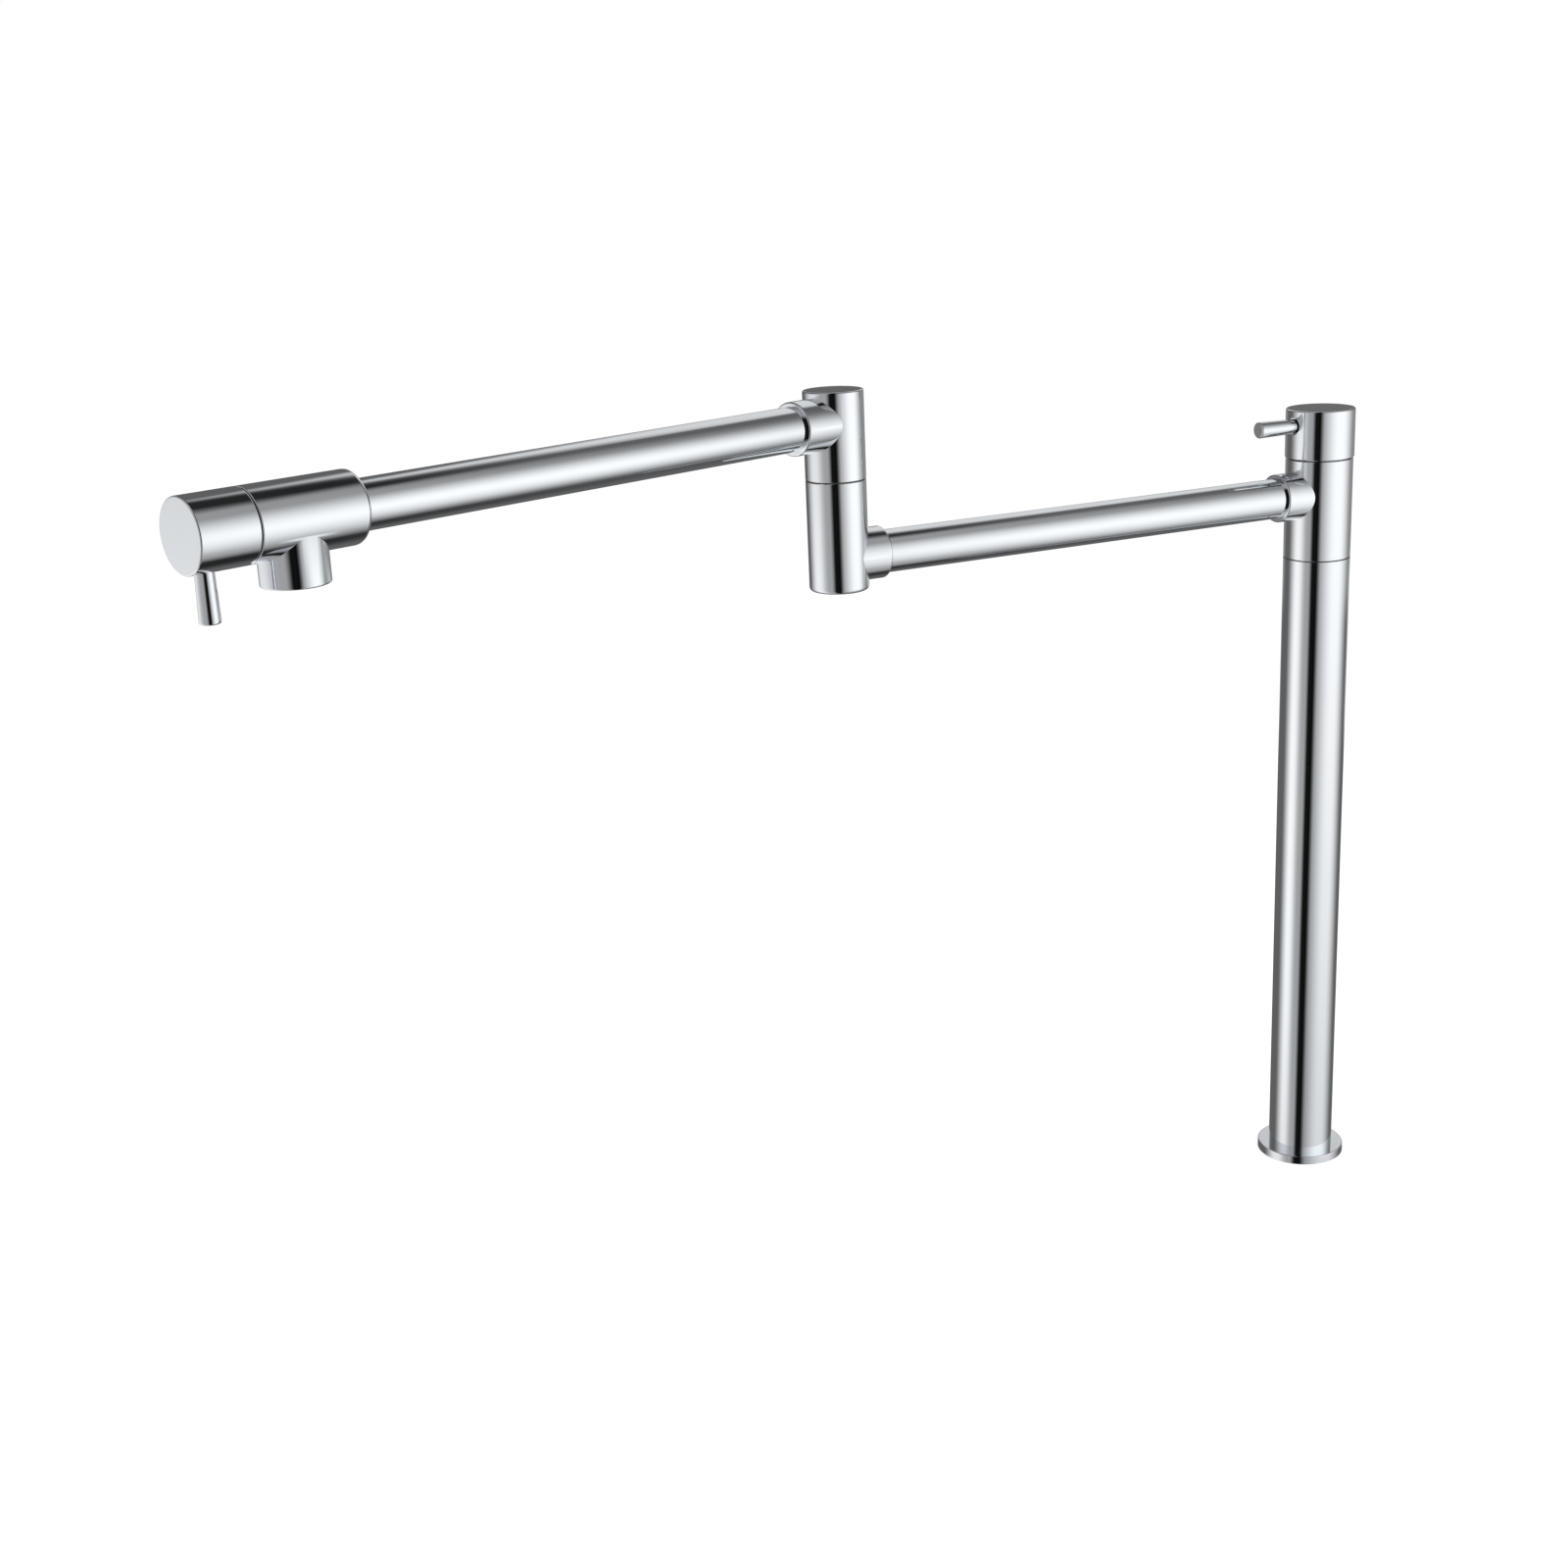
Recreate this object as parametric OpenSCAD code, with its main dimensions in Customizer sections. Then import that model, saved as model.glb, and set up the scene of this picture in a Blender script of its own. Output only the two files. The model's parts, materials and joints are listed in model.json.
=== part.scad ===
// Folding tap with two jointed arms on a tall column.
// The origin is the centre of the flange's underside, with +Z up.
// The lower arm runs towards -X, and the upper arm is turned on the elbow by elbow_angle.

/* [Base] */
// Diameter of the round flange that stands on the worktop
flange_od = 51; // [48:0.5:64]
// Thickness of the flange
flange_t = 5; // [4:0.25:8]
// Bevel around the flange's upper edge
flange_bevel = 0.6; // [0.2:0.1:1.5]
// Width of the rubber ring under the flange
deck_seal_w = 3; // [2:0.25:4]
// Thickness of the rubber ring under the flange
deck_seal_t = 2; // [1:0.25:3]
// Height of the brass hub in the foot of the column
hub_h = 30; // [26:1:60]
// Diameter of the hub's neck, which passes through the flange
hub_neck_d = 28; // [25:0.5:31]
// Core diameter of the inlet thread in the hub
inlet_d = 18.6; // [15:0.1:20]
// Depth of the inlet thread
inlet_depth = 18; // [12:1:22]

/* [Column] */
// Outside diameter of the column tube
column_od = 37.6; // [36:0.2:44]
// Wall of the column tube
column_wall = 2; // [1.5:0.1:3]
// Height of the column tube's upper end above the worktop
column_top = 372.4; // [200:0.2:600]
// Length of the spindle's plug inside the column
column_plug_l = 22; // [16:1:40]

/* [Swivel joints] */
// Diameter of the spindle on the column
column_spindle_d = 26; // [24:0.5:28]
// Diameter of the spindle in the elbow
elbow_spindle_d = 21; // [19:0.5:22]
// Diameter of the waterway through each spindle
waterway_d = 12; // [8:0.5:13]
// Section of the rubber rings on the spindles
ring_d = 2; // [1.6:0.1:2.2]
// Height of the first rubber ring above the foot of its spindle
ring_rise = 4; // [3.6:0.1:5]
// Distance between the two rubber rings of a spindle
ring_pitch = 4.6; // [4:0.1:6]
// Distance from the second rubber ring to the locking groove
lock_pitch = 5.6; // [5.2:0.1:7]
// Length of spindle beyond the locking groove
spindle_end = 4.2; // [3:0.1:6]
// Thread diameter of the screws that lock the swivels
lock_screw_d = 5; // [4.5:0.1:6]
// Diameter of the locking screws' points
lock_point_d = 3.8; // [3:0.1:4]
// Depth of the locking groove
lock_groove_depth = 2; // [1.6:0.1:2.2]
// Thickness of the slip washers in the swivel joints
washer_t = 0.5; // [0.4:0.1:1]

/* [Tee] */
// Outside diameter of the tee on top of the column
tee_od = 37.5; // [36:0.1:44]
// Thickness of the tee's wall between spindle and valve seat
seat_wall = 8.2; // [6:0.2:14]
// Height of the lower arm's axis above the valve seat
arm_port_rise = 9.1; // [9:0.1:14]
// Length of the bosses that face outwards, from the swivel's axis
boss_l = 30.2; // [28:0.2:36]
// Diameter of the bosses that hold the arm tubes
boss_od = 27; // [25.5:0.1:30]
// Rounding of the edge at the mouth of each boss that faces outwards
boss_round = 0.9; // [0.3:0.1:2.4]
// Depth of the sockets that hold the arm tubes
socket_depth = 12; // [8:0.5:13]
// Rounding of the edges along the seams between the chrome pieces
seam_round = 0.4; // [0.2:0.05:0.5]

/* [Arms] */
// Distance from the column's axis to the elbow's axis
reach_1 = 306; // [200:1:400]
// Distance from the elbow's axis to the spout's axis
reach_2 = 318; // [220:1:420]
// Outside diameter of both arm tubes
tube_od = 22.4; // [20:0.1:24]
// Wall of both arm tubes
tube_wall = 1.5; // [1:0.1:2.5]
// Turn of the upper arm on the elbow, from straight
elbow_angle = 19; // [-150:1:150]

/* [Elbow] */
// Outside diameter of both halves of the elbow
elbow_od = 31; // [30:0.2:36]
// Distance from the lower arm's axis to the elbow's underside
elbow_drop = 16.7; // [15:0.1:24]
// Distance from the lower arm's axis to the swivel joint of the elbow
elbow_rise = 40; // [34:0.5:60]
// Length of the lower boss, from the elbow's axis
lower_boss_l = 25.2; // [22:0.2:32]
// Rounding of the edge at the mouth of the lower boss
lower_boss_round = 1.8; // [0.3:0.1:2.4]
// Length of the spindle's plug inside the lower half
elbow_plug_l = 18; // [12:0.5:20]
// Height of the upper arm's axis above the swivel joint
upper_arm_rise = 28.4; // [28:0.1:40]
// Distance from the upper arm's axis to the elbow's top
elbow_head = 16.4; // [15:0.1:24]
// Diameter of the waterways inside the elbow
elbow_way_d = 16; // [12:0.5:17]
// Rounding of the elbow's lower edge
elbow_round = 2; // [0.5:0.1:3]
// Step from the elbow's spindle out to its plug
elbow_plug_step = 0.5; // [0.3:0.1:1]

/* [End valve] */
// Outside diameter of the valve body at the end of the upper arm
valve_od = 32.1; // [31.4:0.1:38]
// Length of valve body behind the valve seat
valve_back_l = 22.8; // [20:0.2:34]
// Rounding of the valve body's rear edge
valve_round = 2.6; // [0.5:0.1:3.5]
// Distance from the valve seat to the spout's axis
spout_port_rise = 7.7; // [7.4:0.1:10]
// Outside diameter of the spout
spout_od = 29.6; // [28:0.1:34]
// Distance from the upper arm's axis to the spout's mouth
spout_drop = 27.5; // [26:0.1:60]
// Diameter of the waterway down to the aerator
spout_way_d = 14; // [8:0.5:14]
// Core diameter of the aerator's thread
aerator_d = 23; // [20:0.1:24]
// Length of the aerator's ring
aerator_l = 9; // [7:0.2:10]
// Recess of the aerator in the spout's mouth
aerator_recess = 0.6; // [0.2:0.1:2]
// Rounding of the spout's edge
spout_round = 0.8; // [0.3:0.1:1.5]
// Diameter of the jets through the aerator's core
core_jet_d = 1.6; // [1:0.1:2]
// Diameter of the holes in the aerator's screen
screen_hole_d = 1; // [0.6:0.1:1.3]

/* [Valves] */
// Depth of each valve pocket, from its seat to its mouth
valve_depth = 29.4; // [27:0.2:40]
// Core diameter of the thread in the valve pockets
pocket_d = 24; // [22:0.1:25]
// Length of the valve housings' thread
valve_thread_l = 10; // [6:0.5:12]
// Diameter of the hole in the valve seats
seat_d = 10; // [6:0.5:11]
// Diameter of the ceramic discs
disc_d = 14.9; // [13:0.1:16]
// Thickness of each ceramic disc
disc_t = 3; // [2:0.1:3.4]
// Thickness of the rubber ring on each valve seat
seat_ring_t = 3; // [2.6:0.1:3.4]
// Wall of the valve housings around the discs
barrel_wall = 1.5; // [1:0.1:2.2]
// Thickness of the stems' feet
stem_foot_t = 2; // [1.5:0.1:3]
// Diameter of the valve stems
stem_d = 8; // [7:0.1:9]
// Diameter of the collar on the valve housings
collar_d = 26.4; // [26.2:0.1:26.6]
// Thickness of the collar on the valve housings
collar_t = 1.5; // [1:0.1:2]
// Distance across the flats of the valve housings' nut
nut_af = 22; // [18:0.5:22.5]
// Height of the valve housings' nut
nut_h = 4; // [3:0.1:5]
// Height of the neck above the nut
neck_h = 4.2; // [2:0.1:5]

/* [Handles] */
// Outside diameter of the cap on the column
top_cap_od = 38.4; // [36:0.1:44]
// Outside diameter of the cap on the end valve
end_cap_od = 32.1; // [31.4:0.1:38]
// Length of both caps
cap_l = 27.6; // [24:0.2:40]
// Wall of both caps
cap_wall = 2.2; // [1.5:0.1:2.4]
// Rounding of the caps' edges
cap_round = 0.8; // [0.2:0.1:1.5]
// Distance from a cap's closed end to its lever's axis
lever_inset = 8.8; // [8:0.1:12]
// Distance from the column's axis to the tip of its lever
top_lever_reach = 43; // [32:0.5:80]
// Distance from the end valve's axis to the tip of its lever
end_lever_reach = 36.7; // [28:0.5:80]
// Diameter of the levers where they leave their caps
lever_root_d = 8; // [7:0.1:9]
// Diameter of the levers at their tips
lever_tip_d = 9; // [7:0.1:12]
// Rounding of the levers' tips
lever_round = 0.8; // [0.3:0.1:2]
// Diameter of the recess around each lever
recess_d = 10; // [9.4:0.1:12]
// Depth of the recess around each lever
recess_depth = 2.6; // [1.5:0.1:4]
// Thread diameter of the levers and of their grub screws
grub_d = 6; // [4:0.1:6.4]
// Length of the grub screws under the levers
grub_l = 4; // [3:0.1:4.5]

/* [Fits] */
// Gap around a piece that is brazed or screwed in place
fit_gap = 0.05; // [0.02:0.01:0.1]
// Radial clearance of a turning fit
run_gap = 0.05; // [0.02:0.01:0.1]
// Gap between a rubber ring and the bore that it seals
ring_gap = 0.02; // [0.01:0.01:0.04]
// Clear space between pieces that move past each other
free_gap = 0.4; // [0.3:0.05:0.6]

/* [Hidden] */
$fn = 96;

chrome = [0.80, 0.82, 0.84];
brass = [0.76, 0.62, 0.33];
rubber = [0.10, 0.10, 0.11];
slip_plastic = [0.24, 0.25, 0.26];
ceramic = [0.93, 0.92, 0.88];
steel = [0.60, 0.61, 0.63];
white_plastic = [0.86, 0.87, 0.88];

// Levels of the two swivel joints, measured from the foot of each spindle
lock_rise = ring_rise + ring_pitch + lock_pitch;
spindle_l = lock_rise + spindle_end;
spindle_pocket = spindle_l + free_gap;
lock_groove_w = lock_point_d + 2 * free_gap;
lock_socket_d = 0.5 * lock_screw_d;
lock_socket_depth = 0.5 * lock_screw_d;
lock_sink = 0.4;

// Column and tee, measured from the worktop
column_bore = column_od - 2 * column_wall;
tee_foot = column_top + washer_t;
column_seat = tee_foot + spindle_pocket + seat_wall;
tee_top = column_seat + valve_depth;
arm_1_level = column_seat + arm_port_rise;

// Elbow, measured from the worktop
elbow_bottom = arm_1_level - elbow_drop;
elbow_joint = arm_1_level + elbow_rise;
elbow_foot = elbow_joint + washer_t;
arm_2_level = elbow_foot + upper_arm_rise;
elbow_top = arm_2_level + elbow_head;

// Arm tubes and their sockets
tube_r = tube_od / 2;
tube_bore = tube_od - 2 * tube_wall;
socket_r = tube_r + fit_gap;
outer_socket_end = boss_l - socket_depth;
lower_socket_end = lower_boss_l - socket_depth;
valve_socket_end = reach_2 - spout_port_rise - valve_back_l + socket_depth;
boss_land = 0.4;
boss_rim_max = boss_od / 2 - socket_r - boss_land;
boss_rim = min(boss_round, boss_rim_max);
lower_boss_rim = min(lower_boss_round, boss_rim_max);
valve_land = 1;
valve_rim = min(valve_round, valve_od / 2 - socket_r - valve_land);
elbow_way_r = elbow_way_d / 2;
elbow_plug_r = elbow_spindle_d / 2 + elbow_plug_step;
arm_port_r = min(arm_port_rise - 0.2, pocket_d / 2 - 3);

// Valve pieces, measured from their seat towards the handle
disc_r = disc_d / 2;
barrel_r = disc_r + run_gap + barrel_wall;
turning_level = seat_ring_t + disc_t;
foot_level = turning_level + disc_t;
barrel_roof = foot_level + stem_foot_t + free_gap;
barrel_foot = 0.6;
nut_level = valve_depth + collar_t;
neck_level = nut_level + nut_h;
neck_top = neck_level + neck_h;
neck_d = stem_d + 5;
clip_t = 1;
clip_d = stem_d + 4;
clip_groove_d = stem_d - 1.6;
clip_level = neck_top + free_gap;
stem_ring_d = 1.4;
stem_ring_level = valve_depth - valve_thread_l / 2;
window_w = 8;
tongue_w = 2.4;
tongue_h = 1.2;
port_angle = 80;
disc_cut_angle = 84;
port_inner_r = seat_d / 6;

// Handle pieces, in the same measure
cap_foot = valve_depth + free_gap;
cap_top = cap_foot + cap_l;
lever_level = cap_top - lever_inset;
cap_floor = clip_level + clip_t + free_gap;
stem_top = lever_level + grub_d / 2 + 0.6;
stem_flat = stem_d / 2 - 0.7;
grub_out = stem_flat + fit_gap + grub_l;
grub_socket_d = grub_d / 2;

// Spout pieces, measured down from the upper arm's axis
aerator_foot = spout_drop - aerator_recess;
aerator_head = aerator_foot - aerator_l;
aerator_washer_t = 1.5;
aerator_pocket = aerator_head - aerator_washer_t;
aerator_ring_wall = 2.2;
aerator_core_r = aerator_d / 2 - fit_gap - aerator_ring_wall - fit_gap;
aerator_lip = 1.2;
aerator_screen_t = 0.6;
core_jet_pitch = 0.38 * aerator_core_r;
screen_pitch = 0.28 * aerator_core_r;

// Frames

module on_elbow() {
  translate([-reach_1, 0, 0]) children();
}

module on_upper_arm() {
  on_elbow() rotate([0, 0, elbow_angle]) children();
}

// Puts a piece that is drawn upright on the line of an arm, pointing away from the swivel's axis
module along_arm(level, start = 0) {
  translate([-start, 0, level]) rotate([0, -90, 0]) children();
}

module at_column_valve() {
  translate([0, 0, column_seat]) children();
}

module at_end_valve() {
  on_upper_arm() along_arm(arm_2_level, reach_2 - spout_port_rise) children();
}

module at_spout() {
  on_upper_arm() translate([-reach_2, 0, arm_2_level]) children();
}

// Shapes that repeat

// Corner that a rounding of radius e leaves outside, as a flat shape
module corner_cut(e) {
  difference() {
    square(e + 1);
    circle(e);
  }
}

// Round bar that stands on its foot, with its upper edge rounded
module domed_bar(r, h, head) {
  rotate_extrude() difference() {
    square([r, h]);
    translate([r - head, h - head]) corner_cut(head);
  }
}

// Round bar that stands on its foot, with both edges rounded
module round_bar(r, h, foot, head) {
  rotate_extrude() difference() {
    square([r, h]);
    translate([r - head, h - head]) corner_cut(head);
    translate([r - foot, foot]) mirror([0, 1]) corner_cut(foot);
  }
}

// Round bar that stands on its foot, with a bevel at its upper edge
module bevelled_bar(r, h, bevel) {
  rotate_extrude() polygon([[0, 0], [r, 0], [r, h - bevel], [r - bevel, h], [0, h]]);
}

// Ring that stands on its foot
module ring(r_out, r_in, h) {
  difference() {
    cylinder(r = r_out, h = h);
    translate([0, 0, -1]) cylinder(r = r_in, h = h + 2);
  }
}

// Rubber ring of round section that just clears a bore
module seal_ring(bore_r, section) {
  rotate_extrude() translate([bore_r - ring_gap - section / 2, 0]) circle(d = section);
}

// Cut for a rubber ring in a shaft that turns in a bore
module seal_groove(bore_r, section) {
  depth = section + 2 * ring_gap;
  translate([0, 0, -depth / 2]) ring(bore_r + 1, bore_r - depth, depth);
}

// Plug and spindle of a swivel joint, with the foot of the spindle at the origin
module spindle(plug_r, plug_l, spindle_r) {
  bore_r = spindle_r + run_gap;
  difference() {
    union() {
      translate([0, 0, -plug_l]) cylinder(r = plug_r, h = plug_l);
      cylinder(r = spindle_r, h = washer_t + spindle_l);
    }
    translate([0, 0, -plug_l - 1]) cylinder(d = waterway_d, h = plug_l + washer_t + spindle_l + 2);
    translate([0, 0, washer_t]) {
      translate([0, 0, ring_rise]) seal_groove(bore_r, ring_d);
      translate([0, 0, ring_rise + ring_pitch]) seal_groove(bore_r, ring_d);
      translate([0, 0, lock_rise - lock_groove_w / 2])
        ring(spindle_r + 1, spindle_r - lock_groove_depth, lock_groove_w);
    }
  }
}

// Cuts for a spindle and its locking screw, in a piece that stands on the joint
module spindle_pocket_cut(spindle_r, body_r) {
  translate([0, 0, -1]) cylinder(r = spindle_r + run_gap, h = spindle_pocket + 1);
  translate([0, 0, lock_rise]) rotate([0, 90, 0]) cylinder(d = lock_screw_d, h = body_r + 1);
}

// Screw whose point runs in the spindle's locking groove
module lock_screw(spindle_r, body_r) {
  point_in = spindle_r - lock_groove_depth + free_gap;
  point_out = spindle_r + run_gap;
  head_out = body_r - lock_sink;
  translate([0, 0, lock_rise]) rotate([0, 90, 0]) difference() {
    union() {
      translate([0, 0, point_in]) cylinder(d = lock_point_d, h = point_out - point_in);
      translate([0, 0, point_out]) cylinder(d = lock_screw_d - 2 * fit_gap, h = head_out - point_out);
    }
    translate([0, 0, head_out - lock_socket_depth])
      cylinder(d = lock_socket_d, h = lock_socket_depth + 1, $fn = 6);
  }
}

// Wedge from the axis outwards, centred on +X, as a flat shape
module wedge(r, angle) {
  polygon([[0, 0], [r * cos(angle / 2), -r * sin(angle / 2)],
    [1.5 * r, 0], [r * cos(angle / 2), r * sin(angle / 2)]]);
}

// Fixed ceramic disc with its two ports in line with the housing's windows
module fixed_disc() {
  translate([0, 0, seat_ring_t]) linear_extrude(disc_t) difference() {
    circle(disc_r);
    for (side = [0, 180]) rotate(side) intersection() {
      wedge(disc_r, port_angle);
      difference() {
        circle(seat_d / 2);
        circle(port_inner_r);
      }
    }
  }
}

// Turning ceramic disc, cut away at both sides, with a slot for the stem
module turning_disc() {
  translate([0, 0, turning_level]) difference() {
    cylinder(r = disc_r, h = disc_t);
    for (side = [90, 270]) rotate(side) translate([0, 0, -1]) linear_extrude(disc_t + 2)
      difference() {
        wedge(disc_r + 1, disc_cut_angle);
        circle(port_inner_r);
      }
    translate([-disc_r, -tongue_w / 2, disc_t - tongue_h])
      cube([2 * disc_r, tongue_w, tongue_h + 1]);
  }
}

// Stem from the turning disc to the handle, with a flat for the grub screw
module valve_stem() {
  difference() {
    union() {
      translate([0, 0, foot_level]) cylinder(r = disc_r - free_gap, h = stem_foot_t);
      translate([0, 0, foot_level]) cylinder(d = stem_d, h = stem_top - foot_level);
      intersection() {
        translate([-disc_r, fit_gap - tongue_w / 2, foot_level - tongue_h + fit_gap])
          cube([2 * disc_r, tongue_w - 2 * fit_gap, tongue_h]);
        cylinder(r = disc_r - free_gap, h = foot_level + 1);
      }
    }
    translate([0, 0, stem_ring_level]) seal_groove(stem_d / 2 + run_gap, stem_ring_d);
    translate([0, 0, clip_level - fit_gap])
      ring(stem_d, clip_groove_d / 2, clip_t + 2 * fit_gap);
    translate([-stem_d - stem_flat, -stem_d, cap_floor + free_gap])
      cube([stem_d, 2 * stem_d, stem_top]);
  }
}

// Brass housing that screws into a valve pocket
module valve_housing() {
  difference() {
    union() {
      translate([0, 0, barrel_foot]) cylinder(r = barrel_r, h = valve_depth - barrel_foot);
      translate([0, 0, valve_depth - valve_thread_l])
        cylinder(d = pocket_d - 2 * fit_gap, h = valve_thread_l);
      translate([0, 0, valve_depth]) cylinder(d = collar_d, h = collar_t);
      translate([0, 0, nut_level]) cylinder(d = nut_af / cos(30), h = nut_h, $fn = 6);
      translate([0, 0, neck_level]) cylinder(d = neck_d, h = neck_h);
    }
    translate([0, 0, -1]) cylinder(r = disc_r + run_gap, h = barrel_roof + 1);
    cylinder(r = stem_d / 2 + run_gap, h = neck_top + 1);
    translate([-barrel_r - 1, -window_w / 2, turning_level])
      cube([2 * barrel_r + 2, window_w, disc_t]);
  }
}

// Rubber ring that seals the fixed disc to the valve seat
module seat_ring() {
  ring(disc_r - fit_gap, seat_d / 2 + fit_gap, seat_ring_t);
}

// Open ring that keeps the stem in its housing
module stem_clip() {
  mouth = 2 * clip_groove_d / 3;
  translate([0, 0, clip_level]) difference() {
    ring(clip_d / 2, clip_groove_d / 2 + fit_gap, clip_t);
    translate([0, -mouth / 2, -1]) cube([clip_d, mouth, clip_t + 2]);
  }
}

// Cap over a valve, with a recess and a threaded hole for its lever towards -X
module cap(r) {
  difference() {
    translate([0, 0, cap_foot]) round_bar(r, cap_l, cap_round, cap_round);
    translate([0, 0, cap_foot - 1]) cylinder(r = r - cap_wall, h = cap_floor - cap_foot + 1);
    cylinder(r = stem_d / 2 + fit_gap, h = stem_top + free_gap);
    translate([0, 0, lever_level]) rotate([0, -90, 0]) {
      cylinder(d = grub_d, h = r);
      translate([0, 0, r - recess_depth]) cylinder(d = recess_d, h = recess_depth + 1);
    }
  }
}

// Grub screw that holds a cap on its stem, under the lever
module grub_screw() {
  key_depth = grub_l / 2;
  translate([0, 0, lever_level]) rotate([0, -90, 0]) difference() {
    translate([0, 0, stem_flat + fit_gap]) cylinder(d = grub_d - 2 * fit_gap, h = grub_l);
    translate([0, 0, grub_out - key_depth])
      cylinder(d = grub_socket_d, h = key_depth + 1, $fn = 6);
  }
}

// Tapered lever with a threaded spigot that screws into the cap
module lever(r, reach) {
  root = r - recess_depth;
  tip_l = 2 * lever_round;
  taper_l = reach - root - tip_l;
  translate([0, 0, lever_level]) rotate([0, -90, 0]) union() {
    translate([0, 0, grub_out + free_gap])
      cylinder(d = grub_d - 2 * fit_gap, h = root - grub_out - free_gap);
    translate([0, 0, root]) cylinder(d1 = lever_root_d, d2 = lever_tip_d, h = taper_l);
    translate([0, 0, root + taper_l]) domed_bar(lever_tip_d / 2, tip_l, lever_round);
  }
}

// Foot and column

module base_flange() {
  seal_mid = (hub_neck_d + flange_od) / 4;
  color(chrome) difference() {
    bevelled_bar(flange_od / 2, flange_t, flange_bevel);
    translate([0, 0, -1]) cylinder(r = hub_neck_d / 2 + fit_gap, h = flange_t + 2);
    translate([0, 0, -1])
      ring(seal_mid + deck_seal_w / 2, seal_mid - deck_seal_w / 2, deck_seal_t + 1);
  }
}

module deck_seal() {
  seal_mid = (hub_neck_d + flange_od) / 4;
  color(rubber)
    ring(seal_mid + deck_seal_w / 2 - fit_gap, seal_mid - deck_seal_w / 2 + fit_gap, deck_seal_t);
}

module base_hub() {
  color(brass) difference() {
    union() {
      cylinder(d = hub_neck_d, h = flange_t);
      translate([0, 0, flange_t]) cylinder(r = column_bore / 2 - fit_gap, h = hub_h - flange_t);
    }
    translate([0, 0, -1]) cylinder(d = inlet_d, h = inlet_depth + 1);
    cylinder(d = waterway_d, h = hub_h + 1);
  }
}

module column_tube() {
  color(chrome) translate([0, 0, flange_t])
    ring(column_od / 2, column_bore / 2, column_top - flange_t);
}

module column_spindle() {
  color(brass) translate([0, 0, column_top])
    spindle(column_bore / 2 - fit_gap, column_plug_l, column_spindle_d / 2);
}

module column_ring_lower() {
  color(rubber) translate([0, 0, tee_foot + ring_rise])
    seal_ring(column_spindle_d / 2 + run_gap, ring_d);
}

module column_ring_upper() {
  color(rubber) translate([0, 0, tee_foot + ring_rise + ring_pitch])
    seal_ring(column_spindle_d / 2 + run_gap, ring_d);
}

module column_washer() {
  color(slip_plastic) translate([0, 0, column_top])
    ring(min(column_od, tee_od) / 2 - free_gap / 2, column_spindle_d / 2 + fit_gap, washer_t);
}

// Tee and lower arm

module tee_body() {
  color(chrome) difference() {
    union() {
      translate([0, 0, tee_foot]) round_bar(tee_od / 2, tee_top - tee_foot, seam_round, seam_round);
      along_arm(arm_1_level) domed_bar(boss_od / 2, boss_l, boss_rim);
    }
    translate([0, 0, tee_foot]) spindle_pocket_cut(column_spindle_d / 2, tee_od / 2);
    translate([0, 0, column_seat]) cylinder(d = pocket_d, h = valve_depth + 1);
    translate([0, 0, tee_foot]) cylinder(d = seat_d, h = column_seat - tee_foot + 1);
    along_arm(arm_1_level) cylinder(r = arm_port_r, h = boss_l);
    along_arm(arm_1_level, outer_socket_end) cylinder(r = socket_r, h = socket_depth + 1);
  }
}

module tee_lock_screw() {
  color(steel) translate([0, 0, tee_foot]) lock_screw(column_spindle_d / 2, tee_od / 2);
}

module lower_arm_tube() {
  color(chrome) along_arm(arm_1_level, outer_socket_end)
    ring(tube_r, tube_bore / 2, reach_1 - outer_socket_end - lower_socket_end);
}

module elbow_lower() {
  way_bottom = arm_1_level - elbow_way_r;
  color(chrome) on_elbow() difference() {
    union() {
      translate([0, 0, elbow_bottom])
        round_bar(elbow_od / 2, elbow_joint - elbow_bottom, elbow_round, seam_round);
      along_arm(arm_1_level) mirror([0, 0, 1])
        domed_bar(boss_od / 2, lower_boss_l, lower_boss_rim);
    }
    translate([0, 0, way_bottom]) cylinder(r = elbow_way_r, h = elbow_joint - way_bottom + 1);
    translate([0, 0, elbow_joint - elbow_plug_l])
      cylinder(r = elbow_plug_r + fit_gap, h = elbow_plug_l + 1);
    along_arm(arm_1_level) mirror([0, 0, 1]) {
      cylinder(r = elbow_way_r, h = lower_boss_l);
      translate([0, 0, lower_socket_end]) cylinder(r = socket_r, h = lower_boss_l);
    }
  }
}

module elbow_spindle() {
  color(brass) on_elbow() translate([0, 0, elbow_joint])
    spindle(elbow_plug_r, elbow_plug_l, elbow_spindle_d / 2);
}

module elbow_ring_lower() {
  color(rubber) on_elbow() translate([0, 0, elbow_foot + ring_rise])
    seal_ring(elbow_spindle_d / 2 + run_gap, ring_d);
}

module elbow_ring_upper() {
  color(rubber) on_elbow() translate([0, 0, elbow_foot + ring_rise + ring_pitch])
    seal_ring(elbow_spindle_d / 2 + run_gap, ring_d);
}

module elbow_washer() {
  color(slip_plastic) on_elbow() translate([0, 0, elbow_joint])
    ring(elbow_od / 2 - free_gap / 2, elbow_spindle_d / 2 + fit_gap, washer_t);
}

// Upper arm

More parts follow.
